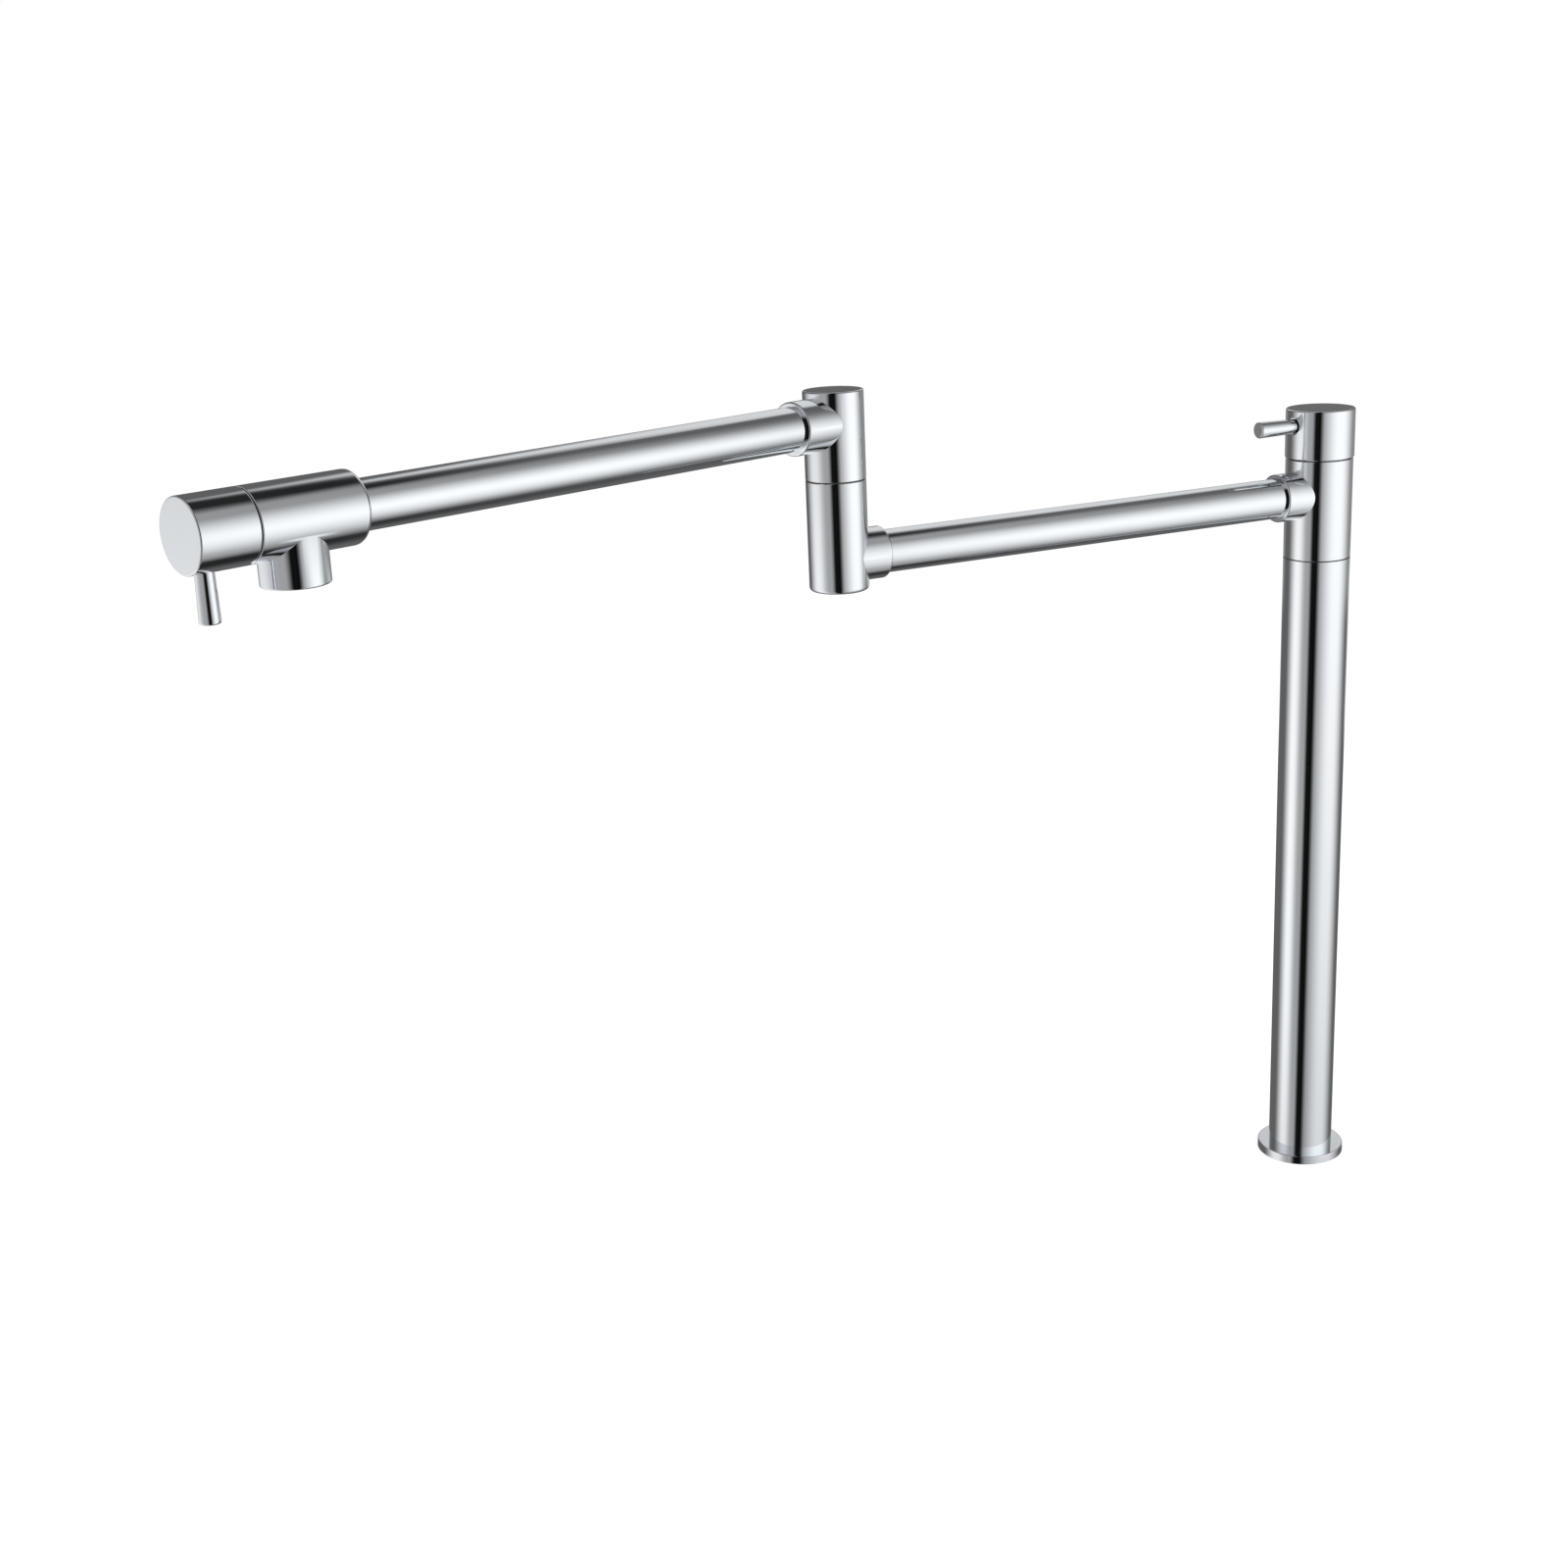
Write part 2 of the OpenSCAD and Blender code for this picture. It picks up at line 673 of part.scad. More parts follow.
module elbow_upper() {
  way_bottom = elbow_foot + spindle_pocket - 1;
  color(chrome) on_upper_arm() difference() {
    union() {
      translate([0, 0, elbow_foot])
        round_bar(elbow_od / 2, elbow_top - elbow_foot, seam_round, cap_round);
      along_arm(arm_2_level) domed_bar(boss_od / 2, boss_l, boss_rim);
    }
    translate([0, 0, elbow_foot]) spindle_pocket_cut(elbow_spindle_d / 2, elbow_od / 2);
    translate([0, 0, way_bottom]) cylinder(r = elbow_way_r, h = arm_2_level + elbow_way_r - way_bottom);
    along_arm(arm_2_level) cylinder(r = elbow_way_r, h = boss_l);
    along_arm(arm_2_level, outer_socket_end) cylinder(r = socket_r, h = socket_depth + 1);
  }
}

module elbow_lock_screw() {
  color(steel) on_upper_arm() translate([0, 0, elbow_foot])
    lock_screw(elbow_spindle_d / 2, elbow_od / 2);
}

module upper_arm_tube() {
  color(chrome) on_upper_arm() along_arm(arm_2_level, outer_socket_end)
    ring(tube_r, tube_bore / 2, valve_socket_end - outer_socket_end);
}

module end_valve_body() {
  color(chrome) difference() {
    union() {
      at_end_valve() {
        mirror([0, 0, 1]) domed_bar(valve_od / 2, valve_back_l, valve_rim);
        domed_bar(valve_od / 2, valve_depth, seam_round);
      }
      at_spout() mirror([0, 0, 1]) domed_bar(spout_od / 2, spout_drop, spout_round);
    }
    at_end_valve() {
      cylinder(d = pocket_d, h = valve_depth + 1);
      translate([0, 0, -valve_back_l]) cylinder(d = seat_d, h = valve_back_l + 1);
      translate([0, 0, -valve_back_l - 1]) cylinder(r = socket_r, h = socket_depth + 1);
    }
    at_spout() mirror([0, 0, 1]) {
      cylinder(d = spout_way_d, h = spout_drop);
      translate([0, 0, aerator_pocket]) cylinder(d = aerator_d, h = spout_drop);
    }
  }
}

module aerator_washer() {
  color(rubber) at_spout() translate([0, 0, -aerator_head])
    ring(aerator_d / 2 - fit_gap, spout_way_d / 2, aerator_washer_t);
}

module aerator_ring() {
  color(chrome) at_spout() translate([0, 0, -aerator_foot]) difference() {
    cylinder(r = aerator_d / 2 - fit_gap, h = aerator_l);
    translate([0, 0, aerator_lip]) cylinder(r = aerator_core_r + fit_gap, h = aerator_l);
    translate([0, 0, -1]) cylinder(r = aerator_core_r - 1, h = aerator_l);
  }
}

module aerator_core() {
  core_h = aerator_l - aerator_lip - aerator_screen_t;
  color(white_plastic) at_spout() translate([0, 0, aerator_lip - aerator_foot]) difference() {
    cylinder(r = aerator_core_r, h = core_h);
    for (row = [1, 2]) for (k = [0 : 6 * row - 1]) rotate(k * 60 / row)
      translate([row * core_jet_pitch, 0, -1]) cylinder(d = core_jet_d, h = core_h + 2, $fn = 24);
  }
}

module aerator_screen() {
  color(steel) at_spout() translate([0, 0, -aerator_head - aerator_screen_t]) difference() {
    cylinder(r = aerator_core_r, h = aerator_screen_t);
    for (row = [1 : 3]) for (k = [0 : 6 * row - 1]) rotate(k * 60 / row)
      translate([row * screen_pitch, 0, -1])
        cylinder(d = screen_hole_d, h = aerator_screen_t + 2, $fn = 24);
  }
}

// Valve under the top cap

module column_valve_housing() {
  color(brass) at_column_valve() valve_housing();
}

module column_valve_seat_ring() {
  color(rubber) at_column_valve() seat_ring();
}

module column_valve_fixed_disc() {
  color(ceramic) at_column_valve() fixed_disc();
}

module column_valve_turning_disc() {
  color(ceramic) at_column_valve() turning_disc();
}

module column_valve_stem() {
  color(brass) at_column_valve() valve_stem();
}

module column_valve_stem_ring() {
  color(rubber) at_column_valve() translate([0, 0, stem_ring_level])
    seal_ring(stem_d / 2 + run_gap, stem_ring_d);
}

module column_valve_clip() {
  color(steel) at_column_valve() stem_clip();
}

module top_cap() {
  color(chrome) at_column_valve() cap(top_cap_od / 2);
}

module top_grub_screw() {
  color(steel) at_column_valve() grub_screw();
}

module top_lever() {
  color(chrome) at_column_valve() lever(top_cap_od / 2, top_lever_reach);
}

// Valve under the end cap

module end_valve_housing() {
  color(brass) at_end_valve() valve_housing();
}

module end_valve_seat_ring() {
  color(rubber) at_end_valve() seat_ring();
}

module end_valve_fixed_disc() {
  color(ceramic) at_end_valve() fixed_disc();
}

module end_valve_turning_disc() {
  color(ceramic) at_end_valve() turning_disc();
}

module end_valve_stem() {
  color(brass) at_end_valve() valve_stem();
}

module end_valve_stem_ring() {
  color(rubber) at_end_valve() translate([0, 0, stem_ring_level])
    seal_ring(stem_d / 2 + run_gap, stem_ring_d);
}

module end_valve_clip() {
  color(steel) at_end_valve() stem_clip();
}

module end_cap() {
  color(chrome) at_end_valve() cap(end_cap_od / 2);
}

module end_grub_screw() {
  color(steel) at_end_valve() grub_screw();
}

module end_lever() {
  color(chrome) at_end_valve() lever(end_cap_od / 2, end_lever_reach);
}

base_flange();
deck_seal();
base_hub();
column_tube();
column_spindle();
column_ring_lower();
column_ring_upper();
column_washer();
tee_body();
tee_lock_screw();
lower_arm_tube();
elbow_lower();
elbow_spindle();
elbow_ring_lower();
elbow_ring_upper();
elbow_washer();
column_valve_housing();
column_valve_seat_ring();
column_valve_fixed_disc();
column_valve_turning_disc();
column_valve_stem();
column_valve_stem_ring();
column_valve_clip();
top_cap();
top_grub_screw();
top_lever();
elbow_upper();
elbow_lock_screw();
upper_arm_tube();
end_valve_body();
end_valve_housing();
end_valve_seat_ring();
end_valve_fixed_disc();
end_valve_turning_disc();
end_valve_stem();
end_valve_stem_ring();
end_valve_clip();
end_cap();
end_grub_screw();
end_lever();
aerator_washer();
aerator_ring();
aerator_core();
aerator_screen();
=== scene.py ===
"""Looks of a folding pot filler tap that stands on a worktop."""
import json
import math

import bpy
from mathutils import Matrix, Vector


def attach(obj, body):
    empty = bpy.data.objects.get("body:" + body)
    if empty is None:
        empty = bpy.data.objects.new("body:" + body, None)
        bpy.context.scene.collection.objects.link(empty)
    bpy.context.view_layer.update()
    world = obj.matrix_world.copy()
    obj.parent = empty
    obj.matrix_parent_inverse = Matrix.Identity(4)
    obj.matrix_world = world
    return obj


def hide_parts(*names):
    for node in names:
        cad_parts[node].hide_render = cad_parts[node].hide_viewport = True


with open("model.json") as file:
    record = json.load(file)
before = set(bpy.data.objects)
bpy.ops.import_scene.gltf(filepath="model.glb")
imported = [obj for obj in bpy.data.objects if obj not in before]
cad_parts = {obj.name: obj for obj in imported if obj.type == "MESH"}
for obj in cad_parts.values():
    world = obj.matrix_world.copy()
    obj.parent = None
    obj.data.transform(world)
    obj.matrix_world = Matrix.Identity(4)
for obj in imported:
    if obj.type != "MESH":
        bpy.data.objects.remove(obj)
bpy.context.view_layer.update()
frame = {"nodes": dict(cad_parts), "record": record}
bpy.ops.object.select_all(action="DESELECT")

# Camera, as the photograph was taken, in metres, degrees, and millimetres for its lens and sensor
CAMERA_PLACE = (-0.7982, -0.9900, 0.6229)
CAMERA_HEADING = -24.72
CAMERA_DIP = 16.82
CAMERA_ROLL = -2.53
CAMERA_LENS = 50.12
CAMERA_SENSOR = 36.0
CAMERA_FAR = 50.0

# Sizes of the polished castings, in millimetres, as in the part's source
MM = 0.001
FLANGE_R, FLANGE_T, FLANGE_ROUND = 25.5, 5.0, 0.6
FLANGE_HOLE_R = 14.05
SEAL_IN_R, SEAL_OUT_R, SEAL_T = 18.25, 21.25, 2.0
TEE_R, TEE_FOOT, TEE_TOP = 18.75, 372.9, 429.3
SEAT_LEVEL, SEAT_HOLE_R = 399.9, 5.0
POCKET_R, VALVE_DEPTH = 12.0, 29.4
SPINDLE_DEPTH, LOCK_RISE, LOCK_R = 18.8, 14.2, 2.5
COLUMN_SPINDLE_R, ELBOW_SPINDLE_R = 13.05, 10.55
ARM_1_LEVEL, ARM_2_LEVEL = 409.0, 477.9
ARM_PORT_R = 8.9
BOSS_R, BOSS_L, BOSS_ROUND = 13.5, 30.2, 0.9
LOWER_BOSS_L, LOWER_BOSS_ROUND = 25.2, 1.8
SOCKET_R, SOCKET_DEPTH = 11.25, 12.0
SEAM_ROUND, CAP_ROUND, ELBOW_ROUND = 0.4, 0.8, 2.0
ELBOW_R, ELBOW_WAY_R = 15.5, 8.0
ELBOW_BOTTOM, ELBOW_JOINT, ELBOW_FOOT, ELBOW_TOP = 392.3, 449.0, 449.5, 494.3
PLUG_SOCKET_R, PLUG_L = 11.05, 18.0
REACH_1, REACH_2, ELBOW_ANGLE = 306.0, 318.0, 19.0
VALVE_R, VALVE_BACK_L, VALVE_ROUND = 16.05, 22.8, 2.6
SPOUT_PORT_RISE = 7.7
SPOUT_R, SPOUT_DROP, SPOUT_ROUND = 14.8, 27.5, 0.8
SPOUT_WAY_R, AERATOR_R, AERATOR_POCKET = 7.0, 11.5, 16.4
TOP_CAP_R, END_CAP_R = 19.2, 16.05
CAP_FOOT, CAP_FLOOR, CAP_TOP, CAP_WALL = 29.8, 40.9, 57.4, 2.2
STEM_HOLE_R, STEM_HOLE_TOP = 4.05, 52.6
LEVER_LEVEL, GRUB_R, GRUB_OUT = 48.6, 3.0, 7.35
RECESS_R, RECESS_DEPTH = 5.0, 2.6
LEVER_ROOT_R, LEVER_TIP_R, LEVER_ROUND = 4.0, 4.5, 0.8
TOP_LEVER_REACH, END_LEVER_REACH = 43.0, 36.7
FIT_GAP, FREE_GAP = 0.05, 0.4

# Millimetres by which a cutter passes a face, and from a branch to the ring of points beside it
OVERRUN = 1.0
RING_GAP = 1.0
# Sides of a turned piece, and steps round a rounded edge
SIDES = 256
ROUND_STEPS = 5
# Degrees from which an edge is shaded sharp
SHARP_ANGLE = 30
# Metres within which two points are one
SAME_POINT = 1e-7

# Round light tent around the column, seen only in reflections. The arms swing inside it.
TENT_RADIUS = 1.0
TENT_BOTTOM = -2.6
TENT_TOP = 3.6
TENT_SIDES = 128
# Strengths of the tent's lit panels
RIGHT_LIGHT, LEFT_LIGHT, LEFT_EDGE_LIGHT = 1.05, 0.99, 0.25
BACK_LIGHT, LOW_BACK_LIGHT, LOW_PANEL_LIGHT, ABOVE_ARMS_LIGHT = 0.58, 0.30, 0.39, 0.15
# Strength of the tent's cloth at its ends, and what its middle adds
END_CLOTH, MIDDLE_CLOTH = 0.02, 0.10
# Share of the light that the gap for the lens takes away
LENS_GAP_SHADE = 0.985

# Floor and lamps, in metres. The glow is what the camera sees besides the lit paper.
FLOOR_SIZE = 14.0
FLOOR_GLOW, FLOOR_GLOW_DRIFT = 0.42, 0.02
LAMP_SIZE = 1.0
LAMP_AIM = (-0.25, 0.0, 0.2)
# Strength of the sky as a light, and as seen by the camera and in reflections
SKY_LIGHT, SKY_SEEN = 0.72, 1.0

WHITE = (1, 1, 1, 1)


class Value:
    """A number socket of a shader. Arithmetic on it adds Math nodes."""

    def __init__(self, shader, socket):
        self.shader = shader
        self.socket = socket

    def __add__(self, other):
        return self.shader.maths("ADD", self, other)

    def __sub__(self, other):
        return self.shader.maths("SUBTRACT", self, other)

    def __rsub__(self, other):
        return self.shader.maths("SUBTRACT", other, self)

    def __mul__(self, other):
        return self.shader.maths("MULTIPLY", self, other)

    __radd__ = __add__
    __rmul__ = __mul__


class Shader:
    """The node tree of a material or of the world."""

    def __init__(self, tree):
        self.tree = tree
        tree.nodes.clear()

    def feed(self, socket, value):
        """Links the value to the socket, or sets it there."""
        if isinstance(value, Value):
            value = value.socket
        if isinstance(value, bpy.types.NodeSocket):
            self.tree.links.new(value, socket)
        else:
            socket.default_value = value

    def node(self, kind, settings=None, inputs=None):
        """A new node, with its settings and then its inputs, which go by name or by number."""
        made = self.tree.nodes.new(kind)
        for name, value in (settings or {}).items():
            setattr(made, name, value)
        for name, value in (inputs or {}).items():
            if isinstance(name, int):
                socket = made.inputs[name]
            else:
                socket = next(s for s in made.inputs if s.name == name and s.enabled)
            self.feed(socket, value)
        return made

    def maths(self, operation, *values):
        made = self.node("ShaderNodeMath", {"operation": operation}, dict(enumerate(values)))
        return Value(self, made.outputs[0])

    def smooth(self, value, low, high):
        """0 below low, 1 above high, and a smooth step between them."""
        made = self.node("ShaderNodeMapRange", {"interpolation_type": "SMOOTHSTEP"},
                         {"Value": value, "From Min": low, "From Max": high})
        return Value(self, made.outputs["Result"])

    def around(self, value, centre, half, fade):
        """1 within half of the centre, and fading to 0 over fade beyond it."""
        away = self.maths("ABSOLUTE", value - centre)
        return 1 - self.smooth(away, half, half + fade)

    def between(self, value, rise, fall):
        """0, then rising to 1, and falling back to 0."""
        return self.smooth(value, *rise) * (1 - self.smooth(value, *fall))

    def wrapped(self, angle, start):
        """The angle in degrees, brought into the full circle that begins at start."""
        return self.maths("WRAP", angle, start + 360.0, start)

    def noise(self, place, scale, detail, roughness=0.5):
        made = self.node("ShaderNodeTexNoise", None,
                         {"Vector": place, "Scale": scale, "Detail": detail, "Roughness": roughness})
        return Value(self, made.outputs[0])

    def mix(self, factor, colour_a, colour_b):
        made = self.node("ShaderNodeMix", {"data_type": "RGBA"},
                         {"Factor": factor, "A": colour_a, "B": colour_b})
        return next(s for s in made.outputs if s.enabled)

    def emission(self, strength):
        return self.node("ShaderNodeEmission", None, {"Color": WHITE, "Strength": strength}).outputs[0]


def object_place(shader):
    return shader.node("ShaderNodeTexCoord").outputs["Object"]


def stretched(shader, place, scale):
    return shader.node("ShaderNodeMapping", None, {"Vector": place, "Scale": scale}).outputs[0]


def finish(name, build):
    """A material whose surface comes from build(shader, place)."""
    material = bpy.data.materials.new(name)
    material.use_nodes = True
    shader = Shader(material.node_tree)
    surface = build(shader, object_place(shader))
    shader.node("ShaderNodeOutputMaterial", None, {"Surface": surface})
    return material


def principled(shader, sockets):
    return shader.node("ShaderNodeBsdfPrincipled", None, sockets).outputs[0]


def bump(shader, height, distance, strength):
    return shader.node("ShaderNodeBump", None,
                       {"Height": height, "Distance": distance, "Strength": strength}).outputs[0]


def chrome_plate(shader, place):
    haze = shader.noise(place, scale=22.0, detail=2.0)
    grain = shader.noise(place, scale=1400.0, detail=2.0)
    wave = shader.noise(place, scale=60.0, detail=1.0)
    colour = shader.mix(haze, (0.872, 0.903, 0.934, 1), (0.902, 0.931, 0.960, 1))
    return principled(shader, {
        "Base Color": colour,
        "Metallic": 1.0,
        "Roughness": 0.035 + 0.03 * haze + 0.012 * grain,
        "Normal": bump(shader, wave, distance=0.00002, strength=0.25),
    })


def turned_brass(shader, place):
    stain = shader.noise(place, scale=60.0, detail=4.0)
    rings = shader.noise(stretched(shader, place, (20.0, 20.0, 4000.0)), scale=1.0, detail=2.0)
    colour = shader.mix(stain, (0.66, 0.47, 0.20, 1), (0.80, 0.62, 0.32, 1))
    return principled(shader, {
        "Base Color": colour,
        "Metallic": 1.0,
        "Roughness": 0.22 + 0.14 * stain,
        "Normal": bump(shader, rings, distance=0.00003, strength=0.4),
    })


def seal_rubber(shader, place):
    bloom = shader.noise(place, scale=90.0, detail=4.0)
    pores = shader.noise(place, scale=2600.0, detail=3.0)
    colour = shader.mix(bloom, (0.012, 0.012, 0.013, 1), (0.032, 0.032, 0.034, 1))
    return principled(shader, {
        "Base Color": colour,
        "Roughness": 0.55 + 0.2 * bloom,
        "Normal": bump(shader, pores, distance=0.00004, strength=0.5),
    })


def slip_plastic(shader, place):
    cloud = shader.noise(place, scale=120.0, detail=3.0)
    grain = shader.noise(place, scale=3000.0, detail=2.0)
    colour = shader.mix(cloud, (0.020, 0.020, 0.022, 1), (0.045, 0.045, 0.048, 1))
    return principled(shader, {
        "Base Color": colour,
        "Roughness": 0.4 + 0.15 * cloud,
        "Normal": bump(shader, grain, distance=0.00003, strength=0.4),
    })


def ceramic(shader, place):
    speckle = shader.noise(place, scale=900.0, detail=4.0, roughness=0.7)
    cloud = shader.noise(place, scale=70.0, detail=2.0)
    colour = shader.mix(speckle, (0.80, 0.78, 0.72, 1), (0.90, 0.88, 0.83, 1))
    return principled(shader, {
        "Base Color": colour,
        "Roughness": 0.1 + 0.08 * cloud,
    })


def screw_steel(shader, place):
    cloud = shader.noise(place, scale=200.0, detail=3.0)
    scratches = shader.noise(stretched(shader, place, (3000.0, 200.0, 3000.0)), scale=1.0, detail=3.0)
    colour = shader.mix(cloud, (0.50, 0.50, 0.51, 1), (0.64, 0.64, 0.65, 1))
    return principled(shader, {
        "Base Color": colour,
        "Metallic": 1.0,
        "Roughness": 0.24 + 0.16 * scratches,
        "Normal": bump(shader, scratches, distance=0.00002, strength=0.4),
    })


def moulded_plastic(shader, place):
    cloud = shader.noise(place, scale=110.0, detail=3.0)
    grain = shader.noise(place, scale=2400.0, detail=2.0)
    colour = shader.mix(cloud, (0.78, 0.79, 0.80, 1), (0.86, 0.87, 0.88, 1))
    return principled(shader, {
        "Base Color": colour,
        "Roughness": 0.35 + 0.12 * cloud,
        "Normal": bump(shader, grain, distance=0.00002, strength=0.4),
    })


FINISHES = {
    "chrome": finish("polished_chrome", chrome_plate),
    "brass": finish("turned_brass", turned_brass),
    "seal_rubber": finish("black_seal_rubber", seal_rubber),
    "slip_plastic": finish("dark_slip_plastic", slip_plastic),
    "ceramic": finish("lapped_ceramic", ceramic),
    "screw_steel": finish("stainless_screw_steel", screw_steel),
    "aerator_plastic": finish("white_aerator_plastic", moulded_plastic),
}

for entry in frame["record"]["subparts"]:
    node = frame["nodes"][entry["node"]]
    node.data.materials.clear()
    node.data.materials.append(FINISHES[entry["material_slot"]])


# Polished castings: the CAD nodes' shapes with finer facets, and a rounding for the flange's bevel

UPRIGHT = Matrix.Identity(4)
ELBOW_PLACE = Matrix.Translation((-REACH_1 * MM, 0, 0))
UPPER_ARM_PLACE = ELBOW_PLACE @ Matrix.Rotation(math.radians(ELBOW_ANGLE), 4, "Z")
COLUMN_VALVE_PLACE = Matrix.Translation((0, 0, SEAT_LEVEL * MM))


def along_arm(level, start=0.0):
    """Lays an upright piece along an arm, pointing away from the swivel."""
    return Matrix.Translation((-start * MM, 0, level * MM)) @ Matrix.Rotation(math.radians(-90), 4, "Y")


END_VALVE_PLACE = UPPER_ARM_PLACE @ along_arm(ARM_2_LEVEL, REACH_2 - SPOUT_PORT_RISE)
SPOUT_PLACE = UPPER_ARM_PLACE @ Matrix.Translation((-REACH_2 * MM, 0, ARM_2_LEVEL * MM))


def take(piece):
    """Selects the piece alone and makes it active."""
    bpy.ops.object.select_all(action="DESELECT")
    piece.select_set(True)
    bpy.context.view_layer.objects.active = piece


def rounded(radius, level, edge, upper=True):
    """Outline of a rounded outer edge at the given radius and level, from the foot upwards."""
    first, centre = (0, level - edge) if upper else (-90, level + edge)
    turns = [math.radians(first + 90 * step / ROUND_STEPS) for step in range(ROUND_STEPS + 1)]
    return [(radius - edge + edge * math.cos(turn), centre + edge * math.sin(turn)) for turn in turns]


def turned(outline, place=UPRIGHT, bored=False):
    """Piece turned from an outline of (radius, level) points. A bored one closes on its first point."""
    radius, level = outline[0]
    bpy.ops.mesh.primitive_circle_add(vertices=SIDES, radius=radius * MM, location=(0, 0, level * MM),
                                      fill_type="NOTHING" if bored else "NGON")
    piece = bpy.context.object
    bpy.ops.object.transform_apply(location=True, rotation=True, scale=True)
    bpy.ops.object.mode_set(mode="EDIT")
    bpy.ops.mesh.select_all(action="SELECT")
    for next_radius, next_level in outline[1:] + (outline[:1] if bored else []):
        bpy.ops.mesh.extrude_region_move(
            TRANSFORM_OT_translate={"value": (0, 0, (next_level - level) * MM)})
        grow = next_radius / radius
        bpy.ops.transform.resize(value=(grow, grow, 1), center_override=(0, 0, next_level * MM))
        radius, level = next_radius, next_level
    bpy.ops.mesh.select_all(action="SELECT")
    if bored:
        bpy.ops.mesh.remove_doubles(threshold=SAME_POINT)
    bpy.ops.mesh.normals_make_consistent(inside=False)
    bpy.ops.object.mode_set(mode="OBJECT")
    piece.matrix_world = place
    bpy.ops.object.transform_apply(location=True, rotation=True, scale=True)
    return piece


def combined(piece, operation, *others):
    """Joins the others to the piece or cuts them from it, in turn."""
    for other in others:
        step = piece.modifiers.new("step", "BOOLEAN")
        step.solver = "EXACT"
        step.operation = operation
        step.object = other
        take(piece)
        bpy.ops.object.modifier_apply(modifier=step.name)
        bpy.data.objects.remove(other)
    return piece


def polished(piece, node, body):
    """Finishes a casting, which takes the place of its CAD node."""
    take(piece)
    piece.name = "polished_" + node
    bpy.ops.object.shade_smooth_by_angle(angle=math.radians(SHARP_ANGLE))
    normals = piece.modifiers.new("even_normals", "WEIGHTED_NORMAL")
    normals.keep_sharp = True
    bpy.ops.object.modifier_apply(modifier=normals.name)
    piece.data.materials.clear()
    piece.data.materials.append(FINISHES["chrome"])
    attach(piece, body)
    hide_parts(node)


def boss(length, edge, place):
    """Boss that takes an arm's tube."""
    return turned([(BOSS_R, 0)] + rounded(BOSS_R, length, edge), place)


def arm_bore(port_r, boss_l, place):
    """Cutter for a boss: the waterway and the socket of the arm's tube."""
    step = boss_l - SOCKET_DEPTH
    return turned([(port_r, 0), (port_r, step), (SOCKET_R, step), (SOCKET_R, boss_l + OVERRUN)], place)


def lock_hole(foot, body_r, place=UPRIGHT):
    """Cutter for the locking screw, through the wall on the side away from the arm."""
    side = Matrix.Translation((0, 0, (foot + LOCK_RISE) * MM)) @ Matrix.Rotation(math.radians(90), 4, "Y")
    return turned([(LOCK_R, 0), (LOCK_R, body_r + OVERRUN)], place @ side)


def flange():
    """Flange with its hole and the groove of its seal."""
    return turned(
        [(FLANGE_HOLE_R, 0), (SEAL_IN_R, 0), (SEAL_IN_R, SEAL_T), (SEAL_OUT_R, SEAL_T), (SEAL_OUT_R, 0),
         (FLANGE_R, 0)] + rounded(FLANGE_R, FLANGE_T, FLANGE_ROUND) + [(FLANGE_HOLE_R, FLANGE_T)],
        bored=True)


def tee():
    """Tee on the column, bored for its spindle and its valve, with the lower arm's boss."""
    arm_line = along_arm(ARM_1_LEVEL)
    spindle_top = TEE_FOOT + SPINDLE_DEPTH
    bore = turned([
        (COLUMN_SPINDLE_R, TEE_FOOT - OVERRUN), (COLUMN_SPINDLE_R, spindle_top),
        (SEAT_HOLE_R, spindle_top), (SEAT_HOLE_R, SEAT_LEVEL),
        (POCKET_R, SEAT_LEVEL), (POCKET_R, TEE_TOP + OVERRUN)])
    body = turned(rounded(TEE_R, TEE_FOOT, SEAM_ROUND, upper=False)
                  + [(TEE_R, ARM_1_LEVEL - BOSS_R - RING_GAP), (TEE_R, ARM_1_LEVEL + BOSS_R + RING_GAP)]
                  + rounded(TEE_R, TEE_TOP, SEAM_ROUND))
    combined(body, "UNION", boss(BOSS_L, BOSS_ROUND, arm_line))
    return combined(body, "DIFFERENCE", bore, arm_bore(ARM_PORT_R, BOSS_L, arm_line),
                    lock_hole(TEE_FOOT, TEE_R))


def lower_elbow():
    """Lower half of the elbow, with the socket of its spindle's plug and a boss towards the column."""
    arm_line = ELBOW_PLACE @ along_arm(ARM_1_LEVEL) @ Matrix.Rotation(math.radians(180), 4, "Y")
    plug_foot = ELBOW_JOINT - PLUG_L
    bore = turned([
        (ELBOW_WAY_R, ARM_1_LEVEL - ELBOW_WAY_R), (ELBOW_WAY_R, plug_foot),
        (PLUG_SOCKET_R, plug_foot), (PLUG_SOCKET_R, ELBOW_JOINT + OVERRUN)], ELBOW_PLACE)
    body = turned(rounded(ELBOW_R, ELBOW_BOTTOM, ELBOW_ROUND, upper=False)
                  + [(ELBOW_R, ARM_1_LEVEL + BOSS_R + RING_GAP)]
                  + rounded(ELBOW_R, ELBOW_JOINT, SEAM_ROUND), ELBOW_PLACE)
    combined(body, "UNION", boss(LOWER_BOSS_L, LOWER_BOSS_ROUND, arm_line))
    return combined(body, "DIFFERENCE", bore, arm_bore(ELBOW_WAY_R, LOWER_BOSS_L, arm_line))


